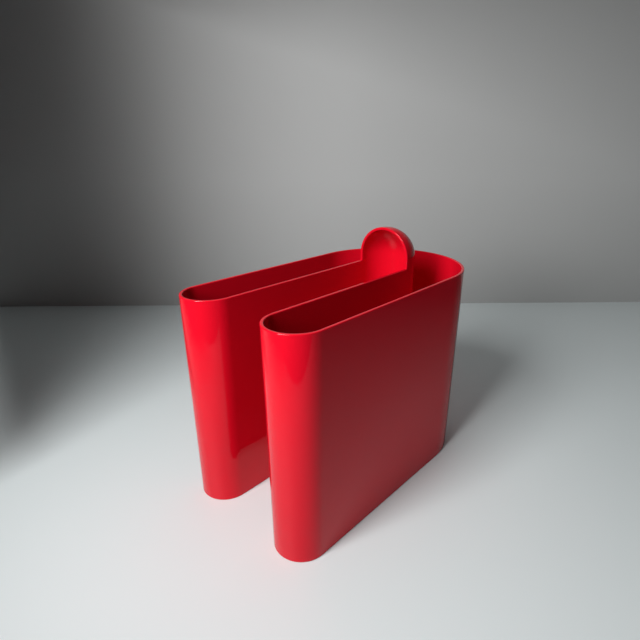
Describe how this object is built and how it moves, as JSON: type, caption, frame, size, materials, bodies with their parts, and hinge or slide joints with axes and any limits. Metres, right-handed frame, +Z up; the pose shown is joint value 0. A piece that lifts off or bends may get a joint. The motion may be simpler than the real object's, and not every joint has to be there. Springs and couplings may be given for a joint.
{
  "type": "magazine file holder",
  "caption": "Free-standing horseshoe-shaped magazine holder in glossy moulded plastic, with deep pockets in its arms and bend, a slot between the arms and a half-dome carrying handle.",
  "frame": {"origin": "on the surface it stands on, under the middle of the bounding box", "axes": "+Z up, +Y towards the bend at the back, so the two arms point along -Y; +X to the right for someone facing the open ends of the arms"},
  "size_m": [0.222, 0.3999, 0.3355],
  "materials": {
    "red_shell": "polished high gloss, scarlet ABS",
    "red_floor": "satin gloss, scarlet ABS",
    "pad_rubber": "matte, dark grey rubber"
  },
  "bodies": {
    "root": {"body_shell": "red_shell", "pocket_floor": "red_floor", "foot_front_left": "pad_rubber", "foot_front_right": "pad_rubber", "foot_rear_left": "pad_rubber", "foot_rear_right": "pad_rubber"}
  },
  "joints": []
}
